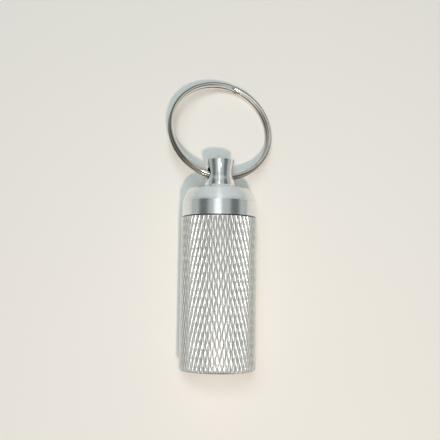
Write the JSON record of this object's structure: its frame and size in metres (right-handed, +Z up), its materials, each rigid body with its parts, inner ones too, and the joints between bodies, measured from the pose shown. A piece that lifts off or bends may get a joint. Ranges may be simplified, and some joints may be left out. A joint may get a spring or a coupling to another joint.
{
  "type": "pill fob keychain",
  "caption": "Turned aluminium pill capsule with a knurled tube, a screw cap on a seal ring, and a split ring through the eye in the cap's stem.",
  "frame": {"origin": "middle of the tube's flat base, on the capsule's axis", "axes": "+Y along the capsule's axis from its base to the split ring, +Z up as the fob lies on its side, +X to the right seen from above"},
  "size_m": [0.0242, 0.0668, 0.017],
  "materials": {
    "knurled_aluminium": "bright knurled",
    "turned_aluminium": "bright turned",
    "seal_rubber": "smooth matt",
    "ring_steel": "nickel plated spring steel"
  },
  "bodies": {
    "tube": {"knurled_tube": "knurled_aluminium"},
    "seal": {"seal_ring": "seal_rubber"},
    "cap": {"screw_cap": "turned_aluminium"},
    "key_ring": {"split_ring": "ring_steel"}
  },
  "joints": [
    {"name": "cap_lift", "type": "slide", "parent": "tube", "child": "seal", "axis": [0, 1, 0], "range_m": [0, 0.0075]},
    {"name": "cap_turn", "type": "hinge", "parent": "seal", "child": "cap", "pos_m": [0, 0.0339, 0], "axis": [0, 1, 0], "range_deg": [0, 1800]},
    {"name": "ring_swing", "type": "hinge", "parent": "cap", "child": "key_ring", "pos_m": [0, 0.0439, 0], "axis": [0.9703, 0, -0.2419], "range_deg": [-139, 168]}
  ],
  "couplings": [
    {"joint": "cap_lift", "follows": "cap_turn", "m_per_rad": 0.00023873}
  ]
}
